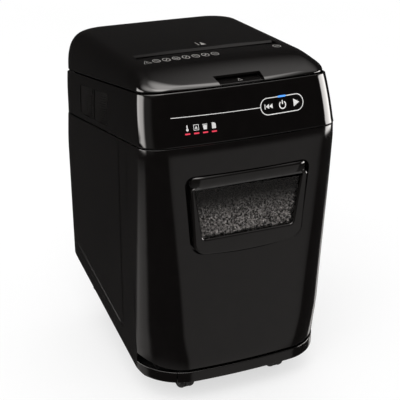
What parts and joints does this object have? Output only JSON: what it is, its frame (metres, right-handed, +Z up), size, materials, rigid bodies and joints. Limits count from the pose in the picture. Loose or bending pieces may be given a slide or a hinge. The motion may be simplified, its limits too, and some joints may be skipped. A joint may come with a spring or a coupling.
{
  "type": "paper shredder",
  "caption": "Black office paper shredder with an auto-feed lid, manual slot, control panel, pull-out bin with a window, and casters.",
  "frame": {"origin": "on the floor under the middle of the machine's bounding box", "axes": "+Z up, the front with the controls and bin faces -Y, +X to the right as seen from the front"},
  "size_m": [0.32, 0.408, 0.534],
  "materials": {
    "gloss_black": "high-gloss piano black",
    "satin_black": "satin black with a soft reflection",
    "moulded_black": "fine matt moulded texture",
    "smoked_window": "smoked clear plastic",
    "paper_shreds": "cross-cut paper",
    "cutter_steel": "oiled hardened steel",
    "zinc_plate": "zinc-plated sheet",
    "gear_nylon": "natural nylon",
    "feed_rubber": "soft rubber",
    "caster_tread": "hard black tread",
    "circuit_board": "green solder mask",
    "status_light": "red light guide",
    "power_light": "blue light guide"
  },
  "bodies": {
    "cabinet": {"head_cover": "gloss_black", "vent_grille_left": "moulded_black", "vent_grille_right": "moulded_black", "control_fascia": "gloss_black", "status_lights": "status_light", "power_light": "power_light", "control_board": "circuit_board", "feed_tray": "moulded_black", "hinge_pin_left": "cutter_steel", "hinge_pin_right": "cutter_steel", "head_deck": "moulded_black", "cutter_plate_left": "zinc_plate", "cutter_plate_right": "zinc_plate", "tie_rod_front": "zinc_plate", "tie_rod_rear": "zinc_plate", "stripper_front": "moulded_black", "stripper_rear": "moulded_black", "motor_body": "zinc_plate", "side_panel_left": "satin_black", "side_panel_right": "satin_black", "rear_panel": "satin_black", "power_inlet": "moulded_black", "bin_sensor": "moulded_black", "base_pan": "moulded_black", "plinth_front": "satin_black"},
    "lid": {"lid": "gloss_black", "feed_chute": "moulded_black"},
    "latch": {"lid_latch": "gloss_black"},
    "pressure_plate": {"pressure_plate": "moulded_black"},
    "bin": {"bin_front": "satin_black", "window_frame": "gloss_black", "window_lens": "smoked_window", "bin_handle": "gloss_black", "bin_tub": "moulded_black", "shredded_paper": "paper_shreds"},
    "cutter_b": {"cutter_shaft_b": "cutter_steel", "sync_gear_b": "cutter_steel", "feed_drive_gear": "gear_nylon"},
    "cutter_a": {"cutter_shaft_a": "cutter_steel", "sync_gear_a": "cutter_steel"},
    "idler": {"idler_gear": "gear_nylon"},
    "motor_rotor": {"motor_shaft": "cutter_steel", "motor_fan": "gear_nylon"},
    "feed": {"feed_shaft": "cutter_steel", "feed_gear": "gear_nylon", "feed_roller_left": "feed_rubber", "feed_roller_right": "feed_rubber"},
    "reverse_key": {"key_reverse": "gloss_black"},
    "power_key": {"key_power": "gloss_black"},
    "forward_key": {"key_forward": "gloss_black"},
    "rocker": {"rocker_switch": "moulded_black"},
    "full_flap": {"bin_full_flap": "moulded_black"},
    "swivel_front_left": {"caster_housing_front_left": "moulded_black"},
    "wheel_front_left": {"caster_wheel_front_left": "caster_tread"},
    "swivel_front_right": {"caster_housing_front_right": "moulded_black"},
    "wheel_front_right": {"caster_wheel_front_right": "caster_tread"},
    "swivel_rear_left": {"caster_housing_rear_left": "moulded_black"},
    "wheel_rear_left": {"caster_wheel_rear_left": "caster_tread"},
    "swivel_rear_right": {"caster_housing_rear_right": "moulded_black"},
    "wheel_rear_right": {"caster_wheel_rear_right": "caster_tread"}
  },
  "joints": [
    {"name": "lid_open", "type": "hinge", "parent": "cabinet", "child": "lid", "pos_m": [0, 0.1935, 0.4665], "axis": [-1, 0, 0], "range_deg": [0, 60]},
    {"name": "latch_press", "type": "hinge", "parent": "lid", "child": "latch", "pos_m": [0, -0.1554, 0.5135], "axis": [1, 0, 0], "range_deg": [0, 5], "stiffness_Nm_per_rad": 0.4},
    {"name": "plate_lift", "type": "hinge", "parent": "lid", "child": "pressure_plate", "pos_m": [0, 0.1, 0.499], "axis": [-1, 0, 0], "range_deg": [0, 8], "stiffness_Nm_per_rad": 1.5, "springref_deg": -17.19},
    {"name": "bin_slide", "type": "slide", "parent": "cabinet", "child": "bin", "axis": [0, -1, 0], "range_m": [0, 0.3]},
    {"name": "cutter_b_turn", "type": "hinge", "parent": "cabinet", "child": "cutter_b", "pos_m": [0, -0.025, 0.41], "axis": [1, 0, 0], "continuous": true},
    {"name": "cutter_a_turn", "type": "hinge", "parent": "cabinet", "child": "cutter_a", "pos_m": [0, -0.063, 0.41], "axis": [1, 0, 0], "continuous": true},
    {"name": "idler_turn", "type": "hinge", "parent": "cabinet", "child": "idler", "pos_m": [0, 0.0025, 0.4153], "axis": [1, 0, 0], "continuous": true},
    {"name": "motor_turn", "type": "hinge", "parent": "cabinet", "child": "motor_rotor", "pos_m": [0, 0.0364, 0.4033], "axis": [1, 0, 0], "continuous": true},
    {"name": "feed_turn", "type": "hinge", "parent": "cabinet", "child": "feed", "pos_m": [0, 0.0156, 0.4425], "axis": [1, 0, 0], "continuous": true},
    {"name": "reverse_press", "type": "slide", "parent": "cabinet", "child": "reverse_key", "axis": [0, 0.9625, -0.2714], "range_m": [0, 0.0008], "stiffness_N_per_m": 800},
    {"name": "power_press", "type": "slide", "parent": "cabinet", "child": "power_key", "axis": [0, 0.9625, -0.2714], "range_m": [0, 0.0008], "stiffness_N_per_m": 800},
    {"name": "forward_press", "type": "slide", "parent": "cabinet", "child": "forward_key", "axis": [0, 0.9625, -0.2714], "range_m": [0, 0.0008], "stiffness_N_per_m": 800},
    {"name": "rocker_tilt", "type": "hinge", "parent": "cabinet", "child": "rocker", "pos_m": [0.07, 0.1965, 0.2075], "axis": [1, 0, 0], "range_deg": [-5, 5]},
    {"name": "flap_swing", "type": "hinge", "parent": "cabinet", "child": "full_flap", "pos_m": [0, 0.03, 0.367], "axis": [1, 0, 0], "range_deg": [-30, 30]},
    {"name": "front_left_swivel", "type": "hinge", "parent": "cabinet", "child": "swivel_front_left", "pos_m": [-0.081, -0.148, 0.04], "axis": [0, 0, 1], "continuous": true},
    {"name": "front_left_roll", "type": "hinge", "parent": "swivel_front_left", "child": "wheel_front_left", "pos_m": [-0.081, -0.136, 0.018], "axis": [1, 0, 0], "continuous": true},
    {"name": "front_right_swivel", "type": "hinge", "parent": "cabinet", "child": "swivel_front_right", "pos_m": [0.081, -0.148, 0.04], "axis": [0, 0, 1], "continuous": true},
    {"name": "front_right_roll", "type": "hinge", "parent": "swivel_front_right", "child": "wheel_front_right", "pos_m": [0.081, -0.136, 0.018], "axis": [1, 0, 0], "continuous": true},
    {"name": "rear_left_swivel", "type": "hinge", "parent": "cabinet", "child": "swivel_rear_left", "pos_m": [-0.081, 0.136, 0.04], "axis": [0, 0, 1], "continuous": true},
    {"name": "rear_left_roll", "type": "hinge", "parent": "swivel_rear_left", "child": "wheel_rear_left", "pos_m": [-0.081, 0.148, 0.018], "axis": [1, 0, 0], "continuous": true},
    {"name": "rear_right_swivel", "type": "hinge", "parent": "cabinet", "child": "swivel_rear_right", "pos_m": [0.081, 0.136, 0.04], "axis": [0, 0, 1], "continuous": true},
    {"name": "rear_right_roll", "type": "hinge", "parent": "swivel_rear_right", "child": "wheel_rear_right", "pos_m": [0.081, 0.148, 0.018], "axis": [1, 0, 0], "continuous": true}
  ],
  "couplings": [
    {"joint": "cutter_a_turn", "follows": "cutter_b_turn", "ratio": -1},
    {"joint": "idler_turn", "follows": "cutter_b_turn", "ratio": -2.1111},
    {"joint": "motor_turn", "follows": "cutter_b_turn", "ratio": 10.556},
    {"joint": "feed_turn", "follows": "cutter_b_turn", "ratio": -1.3529}
  ]
}
